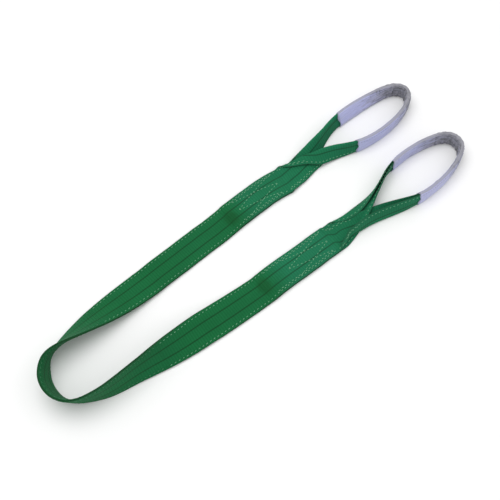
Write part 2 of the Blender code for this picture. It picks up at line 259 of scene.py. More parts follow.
def body_offsets(s, u, top):
    """Heights of a ply's outer and inner faces over the middle of the two plies, away from the other ply."""
    s2, u2 = s[:, None], u[None, :]
    seam = np.exp(-((np.abs(u2) - SEAM) / 0.0013) ** 2)
    crown = np.clip(1 - (u2 / 0.0245) ** 2, 0, 1) ** 0.8
    turned = smooth(np.degrees(np.maximum(route_roll(s2), 0)) / 40)
    puff = crown * (0.00042 + 0.00022 * wander(s2, 31, 0.10))
    if top:
        lift = splice_lift(s2, u2)
        low = GAP / 2 + lift + puff * (1 - 0.6 * lift / (SPLICE_LAYER + GAP)) + 0 * seam
    else:
        low = GAP / 2 + puff * (0.75 * turned) + 0 * seam
    high = low + ply_thickness(u2) - 0.00030 * seam + rib_height(s2, u2)
    return high, low


def body_surface(s, u, q, top):
    """Points of a ply's skin: q is 1 on its outer face and -1 on the face towards the other ply."""
    p, n, _, _ = body(s, u)
    high, low = body_offsets(s, u, top)
    off = (high + low) / 2 + q[None, :] * (high - low) / 2
    out = p + n * (off if top else -off)[..., None]
    out[..., 2] = np.maximum(out[..., 2], 0.0)
    return out


# Columns round a ply's section: (across position, side), closed.
COLS = np.array([0, 3.5, 7, 9.0, 10.6, 14, 17.5, 20.5, 22.6, 24.0, 25.0, 26.0, 27.4, 28.9]) / 1000
OUTER = np.concatenate([-COLS[:0:-1], COLS])
INNER = np.linspace(0.0288, -0.0288, 13)
SECTION_U = np.concatenate([OUTER, [0.02975, 0.0300, 0.02975], INNER, [-0.02975, -0.0300, -0.02975]])
SECTION_Q = np.concatenate([np.ones(len(OUTER)), [0.62, 0.0, -0.62], -np.ones(len(INNER)), [-0.62, 0.0, 0.62]])


# ------------------------------------------------------------------ meshes
def add_mesh(name, points, faces, uv, mat):
    mesh = bpy.data.meshes.new(name)
    mesh.from_pydata(points.tolist(), [], faces)
    layer = mesh.uv_layers.new(name="UVMap")
    index = np.empty(len(mesh.loops), np.int32)
    mesh.loops.foreach_get("vertex_index", index)
    layer.data.foreach_set("uv", np.asarray(uv, np.float32)[index].ravel())
    bm = bmesh.new()
    bm.from_mesh(mesh)
    bmesh.ops.recalc_face_normals(bm, faces=bm.faces[:])
    bm.to_mesh(mesh)
    bm.free()
    mesh.shade_smooth()
    mesh.materials.append(mat)
    obj = bpy.data.objects.new(name, mesh)
    bpy.context.scene.collection.objects.link(obj)
    return obj


def grid_faces(n, m, base=0):
    i, j = np.meshgrid(np.arange(n - 1), np.arange(m), indexing="ij")
    k = (j + 1) % m
    return (np.stack([i * m + j, i * m + k, (i + 1) * m + k, (i + 1) * m + j], -1).reshape(-1, 4) + base).tolist()


def loft(name, grid, uv, mat):
    """A closed solid through a stack of closed sections."""
    n, m = grid.shape[:2]
    faces = grid_faces(n, m)
    faces += [list(range(m))[::-1], list(range((n - 1) * m, n * m))]
    return add_mesh(name, grid.reshape(-1, 3), faces, uv.reshape(-1, 2), mat)


def stations(s0, s1, step=STEP):
    return np.linspace(s0, s1, int(round((s1 - s0) / step)) + 1)


def body_ply(name, s0, s1, top, mat):
    s = stations(s0, s1)
    grid = body_surface(s, SECTION_U, SECTION_Q, top)
    uv = np.stack(np.broadcast_arrays(s[:, None], SECTION_U[None, :] + HALF), -1)
    return loft(name, grid, uv, mat)


EYE_OUTER = np.linspace(-0.0289, 0.0289, 43)
EYE_U = np.concatenate([EYE_OUTER, [0.02975, 0.0300, 0.02975], EYE_OUTER[::-1], [-0.02975, -0.0300, -0.02975]])
EYE_Q = np.concatenate([np.ones(43), [0.62, 0.0, -0.62], -np.ones(43), [-0.62, 0.0, 0.62]])


class Threads:
    """Gathers sewing stitches and makes them one mesh."""

    def __init__(self):
        self.p, self.d, self.n = [], [], []

    def add(self, p, d, n):
        self.p.append(p), self.d.append(d), self.n.append(n)

    def build(self, name, mat, length=STITCH, radius=0.00050, floor=0.00002):
        p, d, n = (np.concatenate(x) for x in (self.p, self.d, self.n))
        rng = np.random.default_rng(len(p))
        e = np.cross(n, d)
        turn = rng.normal(0, 0.05, len(p))[:, None]
        d = d + e * turn
        d /= np.linalg.norm(d, axis=1)[:, None]
        e = np.cross(n, d)
        size = (length * (1 + rng.normal(0, 0.05, len(p))))[:, None]
        along = np.array([-0.5, -0.36, 0.0, 0.36, 0.5])
        thin = np.array([0.30, 0.86, 1.0, 0.86, 0.30]) * radius
        bow = np.array([-0.00042, 0.00004, 0.00026, 0.00004, -0.00042])
        ring = [(math.cos(2 * math.pi * k / 6), math.sin(2 * math.pi * k / 6)) for k in range(6)]
        pts = np.empty((len(p), 5, 6, 3))
        for i in range(5):
            for k, (c, w) in enumerate(ring):
                pts[:, i, k] = (p + d * (along[i] * size) + e * (c * thin[i] * 1.1)
                                + n * (bow[i] + w * thin[i] * 0.75))
        pts[..., 2] = np.maximum(pts[..., 2], floor * (1 + np.arange(6) % 3))
        faces, uv = [], np.empty((len(p), 5, 6, 2))
        for i in range(5):
            uv[:, i, :, 0] = along[i]
        uv[..., 1] = np.arange(6)[None, None, :] / 6
        for b in range(len(p)):
            faces += grid_faces(5, 6, b * 30)
            faces += [[b * 30 + k for k in (5, 4, 3, 2, 1, 0)], [b * 30 + 24 + k for k in range(6)]]
        return add_mesh(name, pts.reshape(-1, 3), faces, uv.reshape(-1, 2), mat)


def body_row(threads, s_mid, u_mid, top, slant=0.09, path=None):
    """Stitches at distances s_mid and positions u_mid, pointing along the webbing or along path (ds, du)."""
    for s, u in zip(s_mid, u_mid):
        p, n, t, a = (x[0, 0] for x in body(np.array([s]), np.array([u])))
        high, _ = body_offsets(np.array([s]), np.array([u]), top)
        side = 1.0 if top else -1.0
        if path is None:
            d = t * math.cos(slant) + a * math.sin(slant) * side
        else:
            d = t * path[0] + a * path[1]
        threads.add((p + n * side * (high[0, 0] + 0.00008))[None], (d / np.linalg.norm(d))[None], (n * side)[None])


# ------------------------------------------------------------------ materials
class Nodes:
    """Short names for building a material's nodes."""

    def __init__(self, name):
        self.mat = bpy.data.materials.new(name)
        self.mat.use_nodes = True
        self.tree = self.mat.node_tree
        self.shader = self.tree.nodes["Principled BSDF"]

    def new(self, kind, **inputs):
        node = self.tree.nodes.new(kind)
        for key, value in inputs.items():
            self.put(node.inputs[key.replace("_", " ")], value)
        return node

    def put(self, socket, value):
        if isinstance(value, bpy.types.NodeSocket):
            self.tree.links.new(value, socket)
        else:
            socket.default_value = value

    def math(self, op, a, b=0.0, c=0.0):
        node = self.tree.nodes.new("ShaderNodeMath")
        node.operation = op
        for socket, value in zip(node.inputs, (a, b, c)):
            self.put(socket, value)
        return node.outputs[0]

    def step(self, value, low, high, to_low=0.0, to_high=1.0):
        node = self.tree.nodes.new("ShaderNodeMapRange")
        node.interpolation_type = "SMOOTHSTEP"
        for key, item in (("Value", value), ("From Min", low), ("From Max", high), ("To Min", to_low), ("To Max", to_high)):
            self.put(node.inputs[key], item)
        return node.outputs[0]

    def near(self, value, centre, width):
        """1 where value is close to centre, falling to 0 at width away."""
        away = self.math("ABSOLUTE", self.math("SUBTRACT", value, centre))
        return self.step(away, width * 0.55, width, 1.0, 0.0)

    def mix(self, factor, a, b, kind="MIX"):
        node = self.tree.nodes.new("ShaderNodeMix")
        node.data_type, node.blend_type = "RGBA", kind
        self.put(node.inputs["Factor"], factor)
        self.put(node.inputs["A"], a if isinstance(a, bpy.types.NodeSocket) else (*a, 1))
        self.put(node.inputs["B"], b if isinstance(b, bpy.types.NodeSocket) else (*b, 1))
        return next(o for o in node.outputs if o.type == "RGBA")

    def noise(self, vector, scale, detail=2.0, rough=0.5):
        node = self.new("ShaderNodeTexNoise", Vector=vector, Scale=scale, Detail=detail, Roughness=rough)
        return node.outputs["Fac"]

    def uv(self, seed=0.0):
        pin = self.tree.nodes.new("ShaderNodeUVMap")
        pin.uv_map = "UVMap"
        split = self.new("ShaderNodeSeparateXYZ", Vector=pin.outputs["UV"])
        join = self.new("ShaderNodeCombineXYZ", X=split.outputs["X"], Y=split.outputs["Y"], Z=seed)
        return split.outputs["X"], split.outputs["Y"], join.outputs[0]

    def bump(self, height, distance, strength=1.0):
        node = self.new("ShaderNodeBump", Height=height, Distance=distance, Strength=strength)
        self.put(self.shader.inputs["Normal"], node.outputs["Normal"])


def webbing_material(name, colour, seed, dip_shadows=(), fade=()):
    """Ribbed green webbing: crosswise ribs, lengthwise yarns, two dark stripes, painted shade in the rib grooves,
    sewing channels, dips and along the edges, painted highlight on the rib crests.
    """
    g = Nodes(name)
    u, v, at = g.uv(seed)
    r, gr, b = colour
    stretch = g.new("ShaderNodeVectorMath", Vector=at)
    stretch.operation = "MULTIPLY"
    stretch.inputs[1].default_value = (0.35, 1.0, 1.0)
    mottle = g.noise(stretch.outputs[0], 26, 4, 0.62)
    fine = g.noise(at, 900, 2, 0.6)
    cloud = g.noise(at, 7.0, 2, 0.5)
    wobble = g.math("MULTIPLY", g.math("SUBTRACT", g.noise(at, 60, 2), 0.5), 0.0011)
    base = g.mix(g.step(mottle, 0.32, 0.70), (r * 0.82, gr * 0.86, b * 0.86), (r * 1.12, gr * 1.10, b * 1.08))
    base = g.mix(g.step(cloud, 0.36, 0.66, 0.0, 0.50), base, (r * 1.35, gr * 1.10, b * 1.30))
    # Crosswise ribs: a narrow groove every 4.88 mm, its depth uneven, with painted shade in the grooves and a
    # painted highlight on the crests.
    along = g.math("ADD", u, wobble)
    phase = g.math("MULTIPLY", along, 2 * math.pi / RIB)
    rib = g.math("COSINE", phase)
    groove = g.step(rib, -0.95, -0.25, 1.0, 0.0)
    groove = g.math("MULTIPLY", groove, g.step(mottle, 0.25, 0.7, 0.55, 1.0))
    # Painted shade in the rib grooves.
    base = g.mix(g.math("MULTIPLY", groove, 0.34), base, (r * 0.45, gr * 0.50, b * 0.50))
    # Painted highlight on the rib crests.
    crest_highlight = g.step(rib, 0.35, 1.0, 0.0, 0.16)
    base = g.mix(crest_highlight, base, (r * 2.2 + 0.004, gr * 1.22, b * 1.35))
    # Lengthwise yarns, offset from one half rib to the next.
    half = g.math("MULTIPLY", g.math("ROUND", g.math("DIVIDE", along, RIB / 4)), 1.9)
    yarn = g.math("SINE", g.math("ADD", g.math("MULTIPLY", v, 2 * math.pi / 0.00105), half))
    base = g.mix(g.step(yarn, -0.9, 0.2, 0.30, 0.0), base, (r * 0.45, gr * 0.52, b * 0.5))
    base = g.mix(g.step(fine, 0.50, 0.72, 0.0, 0.35), base, (r * 2.6 + 0.01, gr * 1.25, b * 1.5))
    # Two dark guide stripes.
    across = g.math("ADD", v, g.math("MULTIPLY", wobble, 0.45))
    stripe = g.math("MAXIMUM", g.near(across, 0.0201, 0.00155), g.near(across, 0.0399, 0.00155))
    base = g.mix(g.math("MULTIPLY", stripe, 0.80), base, (r * 0.40 + 0.002, gr * 0.36, b * 0.36))
    # The sewing channels and the selvedges, both painted darker as shade.
    from_edge = g.math("MINIMUM", v, g.math("SUBTRACT", WIDTH, v))
    # Painted shade in the pressed-in sewing channels.
    channel = g.near(from_edge, HALF - SEAM, 0.0014)
    base = g.mix(g.math("MULTIPLY", channel, 0.28), base, (r * 0.6, gr * 0.62, b * 0.62))
    # Painted shade along both selvedges, where the plies' edges turn away.
    edge = g.step(from_edge, 0.0002, 0.0021, 1.0, 0.0)
    base = g.mix(g.math("MULTIPLY", edge, 0.62), base, (r * 1.5 + 0.006, gr * 0.40, b * 0.52))
    # Painted shadow in the dip where the splice layer ends: u, v, half length, half width, strength.
    for pu, pv, ru, rv, strength in dip_shadows:
        du = g.math("DIVIDE", g.math("SUBTRACT", u, pu), ru)
        dv = g.math("DIVIDE", g.math("SUBTRACT", v, pv), rv)
        far = g.math("SQRT", g.math("ADD", g.math("MULTIPLY", du, du), g.math("MULTIPLY", dv, dv)))
        far = g.math("ADD", far, g.math("MULTIPLY", g.math("SUBTRACT", mottle, 0.5), 0.9))
        base = g.mix(g.step(far, 0.35, 1.15, strength, 0.0), base, (r * 0.9, gr * 0.52, b * 0.42))
    # Slow changes of tone along the webbing: from u, to u, colour factors, strength.
    for u0, u1, tone, strength in fade:
        cooler = g.mix(1.0, base, tone, "MULTIPLY")
        base = g.mix(g.step(u, u0, u1, 0.0, strength), base, cooler)
    g.put(g.shader.inputs["Base Color"], base)
    g.put(g.shader.inputs["Roughness"], g.step(fine, 0.3, 0.7, 0.66, 0.86))
    g.shader.inputs["Specular IOR Level"].default_value = 0.10
    g.shader.inputs["Sheen Weight"].default_value = 0.02
    g.shader.inputs["Sheen Roughness"].default_value = 0.5
    height = g.math("ADD", g.math("MULTIPLY", groove, -1.0), g.math("MULTIPLY", yarn, 0.28))
    height = g.math("ADD", height, g.math("MULTIPLY", fine, 0.5))
    g.bump(height, 0.00022, 0.9)
    return g.mat


def thread_material(name, colour):
    g = Nodes(name)
    u, v, at = g.uv(3.0)
    strand = g.math("SINE", g.math("ADD", g.math("MULTIPLY", u, 34.0), g.math("MULTIPLY", v, 2 * math.pi)))
    r, gr, b = colour
    shade = g.mix(g.step(strand, -1.0, 0.6), (r * 0.62, gr * 0.70, b * 0.66), (r * 1.15, gr * 1.05, b * 1.1))
    # Painted shade at both ends of each stitch, where it dips into the webbing.
    shade = g.mix(g.step(g.math("ABSOLUTE", u), 0.30, 0.5, 0.0, 0.65), shade, (r * 0.35, gr * 0.5, b * 0.42))
    g.put(g.shader.inputs["Base Color"], shade)
    g.put(g.shader.inputs["Roughness"], g.step(strand, -1, 1, 0.62, 0.48))
    g.bump(strand, 0.0001, 0.8)
    return g.mat


def sleeve_material(name, length, tip, seed):
    """Close-woven lavender sleeve cloth: seams at the top and bottom edges, painted shade along those folded edges
    and in the pleats, a grey crumpled tip.
    """
    g = Nodes(name)
    u, v, at = g.uv(seed)
    # v runs round the section: 0 to 1, with the top edge at 0.25 and the bottom edge at 0.75.
    mottle = g.noise(at, 38, 4, 0.62)
    cloud = g.noise(at, 11, 3, 0.55)
    speck = g.noise(at, 480, 2, 0.6)
    base = g.mix(g.step(mottle, 0.30, 0.70), (0.400, 0.415, 0.670), (0.520, 0.540, 0.810))
    base = g.mix(g.step(cloud, 0.42, 0.66, 0.0, 0.55), base, (0.440, 0.440, 0.590))
    base = g.mix(g.step(speck, 0.52, 0.72, 0.0, 0.30), base, (0.60, 0.62, 0.82))
    weave = g.math("MULTIPLY", g.math("SINE", g.math("MULTIPLY", u, 2 * math.pi / 0.0011)),
                   g.math("SINE", g.math("MULTIPLY", v, 2 * math.pi * 84)))
    base = g.mix(g.step(weave, -1.0, 0.2, 0.22, 0.0), base, (0.25, 0.25, 0.42))
    # The crumpled end of the eye is painted a darker mottled grey, with painted shade in its pleats.
    away = g.math("ABSOLUTE", g.math("SUBTRACT", u, tip))
    near_tip = g.step(g.math("ADD", away, g.math("MULTIPLY", g.math("SUBTRACT", mottle, 0.5), 0.16)), 0.020, 0.115, 1.0, 0.0)
    grey = g.mix(g.step(mottle, 0.36, 0.62), (0.085, 0.086, 0.074), (0.300, 0.295, 0.330))
    base = g.mix(g.math("MULTIPLY", near_tip, 0.90), base, grey)
    streak = g.new("ShaderNodeCombineXYZ", X=g.math("MULTIPLY", u, 150.0), Y=g.math("MULTIPLY", v, 2.2), Z=seed)
    pleat = g.noise(streak.outputs[0], 1.0, 2, 0.5)
    # Painted shade in the pleats of the tip.
    base = g.mix(g.math("MULTIPLY", g.step(pleat, 0.52, 0.72), g.math("MULTIPLY", near_tip, 0.75)), base, (0.055, 0.058, 0.050))
    # Painted shade: the folded top and bottom edges are painted darker and greyer.
    fold = g.math("MAXIMUM", g.near(v, 0.25, 0.058), g.near(v, 0.75, 0.034))
    fold = g.math("MULTIPLY", fold, g.step(mottle, 0.25, 0.60, 0.60, 1.0))
    base = g.mix(g.math("MULTIPLY", fold, 0.80), base, (0.275, 0.275, 0.305))
    line = g.math("MAXIMUM", g.near(v, 0.415, 0.009), g.near(v, 0.085, 0.009))
    base = g.mix(g.math("MULTIPLY", line, 0.32), base, (0.44, 0.50, 0.70))
    # The cut mouths are a little frayed and painted darker.
    mouth = g.math("MINIMUM", u, g.math("SUBTRACT", length, u))
    base = g.mix(g.step(mouth, 0.0005, 0.0042, 0.45, 0.0), base, (0.15, 0.17, 0.20))
    g.put(g.shader.inputs["Base Color"], base)
    g.put(g.shader.inputs["Roughness"], g.step(mottle, 0.3, 0.7, 0.72, 0.90))
    g.shader.inputs["Specular IOR Level"].default_value = 0.3
    g.shader.inputs["Sheen Weight"].default_value = 0.12
    height = g.math("ADD", g.math("MULTIPLY", weave, 0.25), g.math("MULTIPLY", mottle, 1.1))
    height = g.math("ADD", height, g.math("MULTIPLY", g.math("MULTIPLY", pleat, near_tip), 1.6))
    g.bump(height, 0.00045, 0.75)
    return g.mat


GREEN = (0.0052, 0.122, 0.036)

A_IN, B_IN = route_at(SPLICE_A[0] - 0.004, True), route_at(SPLICE_B[0] - 0.004, False)
# Painted shadow in the dip just past the end of each splice layer.
DIP_SHADOWS = (
    (A_IN, 0.032, 0.016, 0.020, 0.55), (B_IN, 0.034, 0.016, 0.020, 0.55),
)
COOL = (1.75, 1.27, 1.85)     # the tone of the webbing near the eyes
TONES = ((A_IN, A_IN - 0.055, COOL, 1.0), (B_IN, B_IN + 0.055, COOL, 1.0))
web_top = webbing_material("webbing_face_a", GREEN, 0.0, DIP_SHADOWS, TONES)
web_bottom = webbing_material("webbing_face_b", GREEN, 0.0, (), TONES)
web_eye = webbing_material("webbing_eye", (GREEN[0] * COOL[0], GREEN[1] * COOL[1], GREEN[2] * COOL[2]), 0.0)
web_layer = webbing_material("webbing_splice_layer", (0.009, 0.130, 0.042), 12.0)
thread_mat = thread_material("sewing_thread", (0.175, 0.455, 0.260))
plain_thread_mat = thread_material("sewing_thread_plain", (0.036, 0.205, 0.085))
sleeve_thread_mat = thread_material("sleeve_thread", (0.30, 0.33, 0.50))

# ------------------------------------------------------------------ cuts between the pieces
K1 = on_pitch(route_at(0.125, True))
K2, K3, K4 = on_pitch(0.470), on_pitch(0.638), on_pitch(0.850)
K5 = on_pitch(route_at(0.110, False))
STRETCHES = (
    ("run_a_end", K1, K2, "run_a_end", "run_a_mid", (-0.1654, 0.0773, 0.0), (-0.2254, 0.0745, 0.0)),
    ("run_a_mid", K2, K3, "run_a_mid", "bend", (-0.381, 0.068, 0.0), (-0.432, 0.031, 0.0)),
    ("bend", K3, K4, "bend", "run_b_mid", (-0.437, -0.021, 0.0), (-0.381, -0.052, 0.0)),
    ("run_b_end", K4, K5, "run_b_mid", "run_b_end", (-0.1195, -0.0653, 0.0), (-0.0595, -0.0675, 0.0)),
)


def stitch_at(s0, s1):
    """Middles of the stitches between s0 and s1, always the same along the whole webbing."""
    k = np.arange(math.ceil((s0 - 0.0025) / PITCH - 0.5), math.floor((s1 - 0.0025) / PITCH + 0.5) + 1)
    s = 0.0025 + k * PITCH
    return s[(s >= s0 + STITCH * 0.55) & (s <= s1 - STITCH * 0.55)]


plies, seams = {}, {}
for name, s0, s1, body_a, body_b, start, end in STRETCHES:
    for top in (True, False):
        face = "top" if top else "bottom"
        obj = body_ply(f"webbing_{name}_{face}_ply", s0, s1, top, web_top if top else web_bottom)
        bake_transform(obj)
        plies[name, face] = (obj, s1 - s0)
    threads = Threads()
    for top in (True, False):
        for edge in (-1, 1):
            mids = stitch_at(s0, s1) + 0.0011 * edge
            body_row(threads, mids, edge * SEAM + 0.00035 * wander(mids, 40 + edge, 0.05), top)
    for run_a, splice, zone in ((True, SPLICE_A, STITCH_A), (False, SPLICE_B, STITCH_B)):
        b0, e0 = route_at(zone[0], run_a), route_at(zone[1], run_a)
        if not min(b0, e0) >= s0 or not max(b0, e0) <= s1:
            continue
        p0, p1 = sorted((route_at(splice[0] + 0.006, run_a), route_at(min(splice[1], 0.118 if run_a else 0.104), run_a)))
        left = -1 if run_a else 1
        for top in (True, False):
            for edge in (-1, 1):
                mids = stitch_at(p0, p1) + 0.0032
                body_row(threads, mids, edge * (SEAM - 0.0026) + 0.0004 * wander(mids, 50 + edge, 0.04), top, slant=-0.12)
            for corners in (((0.0, 0.15), (1.0, 0.50), (0.10, 0.905)), ((1.0, 0.09), (0.0, 0.50), (0.96, 0.86))):
                for (f0, v0), (f1, v1) in zip(corners, corners[1:]):
                    sa, sb = b0 + (e0 - b0) * f0, b0 + (e0 - b0) * f1
                    ua, ub = left * (0.5 - v0) * WIDTH, left * (0.5 - v1) * WIDTH
                    long = math.hypot(sb - sa, ub - ua)
                    count = int(long / (PITCH * 0.92))
                    f = (np.arange(count) + 0.5) / count
                    ds, du = (sb - sa) / long, (ub - ua) / long
                    body_row(threads, sa + (sb - sa) * f, ua + (ub - ua) * f, top, path=(ds, du))
    obj = threads.build(f"stitches_{name}", plain_thread_mat if name in ("run_a_mid", "bend") else thread_mat)
    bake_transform(obj)
    seams[name] = obj

# ------------------------------------------------------------------ splice layers
layers = {}
for letter, run_a, limits in (("a", True, SPLICE_A), ("b", False, SPLICE_B)):
    s0, s1 = sorted(route_at(x, run_a) for x in limits)
    s = stations(s0, s1, 0.004)
    half = HALF - 0.0026
    u = np.concatenate([np.linspace(-half, half, 9), np.linspace(half, -half, 9)])
    q = np.concatenate([np.ones(9), -np.ones(9)])
    p, n, _, _ = body(s, u)
    lift = splice_lift(s[:, None], u[None, :])
    low, high = -GAP / 2 + 0.0001, GAP / 2 + np.maximum(lift - 0.0001, 0.0006)
    grid = p + n * ((high + low) / 2 + q[None, :] * (high - low) / 2)[..., None]
    uv = np.stack(np.broadcast_arrays(s[:, None], u[None, :] + HALF), -1)
    obj = loft(f"splice_layer_{letter}_cloth", grid, uv, web_layer)
    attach(obj, f"run_{letter}_end")
    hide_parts(f"splice_layer_{letter}")
    layers[letter] = obj


# ------------------------------------------------------------------ eyes
class Eye:
    """The webbing of one eye: out of the top ply, round the loop, back into the bottom ply."""

    def __init__(self, letter):
        self.run_a = letter == "a"
        points, sleeve, cut = (EYE_A, SLEEVE_A, K1) if self.run_a else (EYE_B, SLEEVE_B, K5)
        sign = -1 if self.run_a else 1
        room = cut if self.run_a else ROUTE_END - cut
        self.cut, self.sign, self.room = cut, sign, room
        # Some of the body's own route comes before and after the eye's points.
        before = [cut + sign * d for d in (-0.03, -0.02, -0.01, 0.0, 0.006, 0.012, 0.018)]
        places = [(float(route_x(s)), float(route_y(s))) for s in before]
        out, back = (LEAD_A, BACK_A) if self.run_a else (LEAD_B, BACK_B)
        lead = [(*place, *rest) for place, rest in zip(places, out)]
        tail = [(*place, *rest) for place, rest in zip(places, back)][::-1]
        loop = [(x + SHIFT[0], y + SHIFT[1], *rest) for x, y, *rest in points]
        path = lead + loop + tail
        self.knots = chords(path)
        self.x, self.y = spline(self.knots, [p[0] for p in path]), spline(self.knots, [p[1] for p in path])
        self.right = spline(self.knots, [math.radians(p[2]) for p in path])
        self.left = spline(self.knots, [math.radians(p[3]) for p in path])
        self.fold = spline(self.knots, [p[4] / 1000 for p in path])
        self.t0, self.t1 = self.knots[3], self.knots[-4]
        self.s0, self.s1 = self.knots[7 + sleeve[0]], self.knots[7 + sleeve[1]]

    def frame(self, t):
        e = 0.0005
        tx, ty = self.x(t + e) - self.x(t - e), self.y(t + e) - self.y(t - e)
        length = np.hypot(tx, ty)
        tx, ty = tx / length, ty / length
        return self.x(t), self.y(t), tx, ty, ty, -tx  # outward is travel x up

    def limits(self, t):
        """The halves' directions, straight from their splines."""
        return self.right(t), self.left(t)

    def surface(self, t, u):
        """Middle surface and normal of the folded ply, for arrays t (n) and u (m)."""
        x, y, tx, ty, ox, oy = self.frame(t)
        right, left = self.limits(t)
        begin, end = left - math.pi, right
        turn = end - begin
        fine = np.linspace(-HALF, HALF, 241)
        mid = (fine[1:] + fine[:-1]) / 2
        arc = np.maximum(FOLD_RADIUS * np.abs(turn) / 2, 1e-4)
        fold = self.fold(t)
        way = np.clip(((mid[None, :] - fold[:, None]) / arc[:, None] + 1) / 2, 0, 1)
        tau = begin[:, None] + turn[:, None] * way
        du = fine[1] - fine[0]
        h = np.concatenate([np.zeros((len(t), 1)), np.cumsum(np.cos(tau) * du, 1)], 1)
        z = np.concatenate([np.zeros((len(t), 1)), np.cumsum(np.sin(tau) * du, 1)], 1)
        h -= (h.max(1) + h.min(1))[:, None] / 2
        tau_full = begin[:, None] + turn[:, None] * np.clip(((fine[None, :] - fold[:, None]) / arc[:, None] + 1) / 2, 0, 1)
        lowest = (z - PLY / 2 * np.abs(np.cos(tau_full))).min(1)
        under = 0.0027 * (1 - smooth((t - self.t0) / (0.75 * (self.s0 - self.t0))))
        under = under + splice_lift(np.maximum(self.cut + self.sign * (t - self.t0), 0.0)
                                    if self.run_a else np.minimum(self.cut + t - self.t0, ROUTE_END), 0 * t)
        cover = (SLEEVE_WALL + 0.0004) * smooth((t - self.s0 + 0.03) / 0.03) * smooth((self.s1 - t + 0.03) / 0.03)
        z += (under + cover - lowest)[:, None]
        k = np.clip((u + HALF) / du, 0, 240)
        i = np.minimum(k.astype(int), 239)
        f = (k - i)[None, :]
        hu, zu = h[:, i] * (1 - f) + h[:, i + 1] * f, z[:, i] * (1 - f) + z[:, i + 1] * f
        tu = tau_full[:, i] * (1 - f) + tau_full[:, i + 1] * f
        p = np.stack([x[:, None] + ox[:, None] * hu, y[:, None] + oy[:, None] * hu, zu], -1)
        n = np.stack([-ox[:, None] * np.sin(tu), -oy[:, None] * np.sin(tu), np.cos(tu)], -1)
        a = np.stack([ox[:, None] * np.cos(tu), oy[:, None] * np.cos(tu), np.sin(tu)], -1)
        return p, n, a, np.stack([tx, ty, 0 * tx], -1)

    def skin(self, t, u, q):
        """Points of the ply's skin, joined smoothly to the body's two plies at both ends."""
        p, n, _, _ = self.surface(t, u)
        seam = np.exp(-((np.abs(u) - SEAM) / 0.0013) ** 2)[None, :]
        thick = ply_thickness(u)[None, :] - 0.00025 * seam * (q[None, :] > 0) + 0.8 * rib_height(t[:, None] - self.t0 + RIB * 0.0, u[None, :])
        out = p + n * (q[None, :] * thick / 2)[..., None]
        ends = ((t - self.t0, True), (self.t1 - t, False))
        for away, top in ends:
            zone = away < 0.0095
            if not zone.any():
                continue
            share = smooth((away[zone] - 0.0005) / 0.0085)[:, None, None]
            s = self.cut + self.sign * away[zone]
            if self.run_a:
                uu, qq = u, (q if top else q)
            else:
                uu, qq = (-u, q) if top else (u, -q)
            out[zone] = body_surface(s, uu, qq, top) * (1 - share) + out[zone] * share
        out[..., 2] = np.maximum(out[..., 2], 0.0)
        return out

    def normals(self, t, u):
        _, n, a, d = self.surface(t, u)
        return n, a, d


def sleeve_outline(count=52):
    """Rounded section of the sleeve: (outward, up) from its middle, starting on the outward side."""
    w, h = SLEEVE_THICK / 2, SLEEVE_HEIGHT / 2
    angle = np.linspace(0, 2 * math.pi, count, endpoint=False)
    # A flattened section whose top and bottom edges are creased.
    c, s = np.cos(angle), np.sin(angle)
    out = np.sign(c) * np.abs(c) ** 0.42 * w
    up = np.sign(s) * np.abs(s) ** 0.80 * h
    # Even spacing round the section.
    fine = np.linspace(0, 2 * math.pi, 2001)
    fc, fs = np.cos(fine), np.sin(fine)
    fo, fu = np.sign(fc) * np.abs(fc) ** 0.42 * w, np.sign(fs) * np.abs(fs) ** 0.80 * h
    run = np.concatenate([[0], np.cumsum(np.hypot(np.diff(fo), np.diff(fu)))])
    at = np.linspace(0, run[-1], count, endpoint=False)
    return np.interp(at, run, fo), np.interp(at, run, fu), at / run[-1], run[-1]


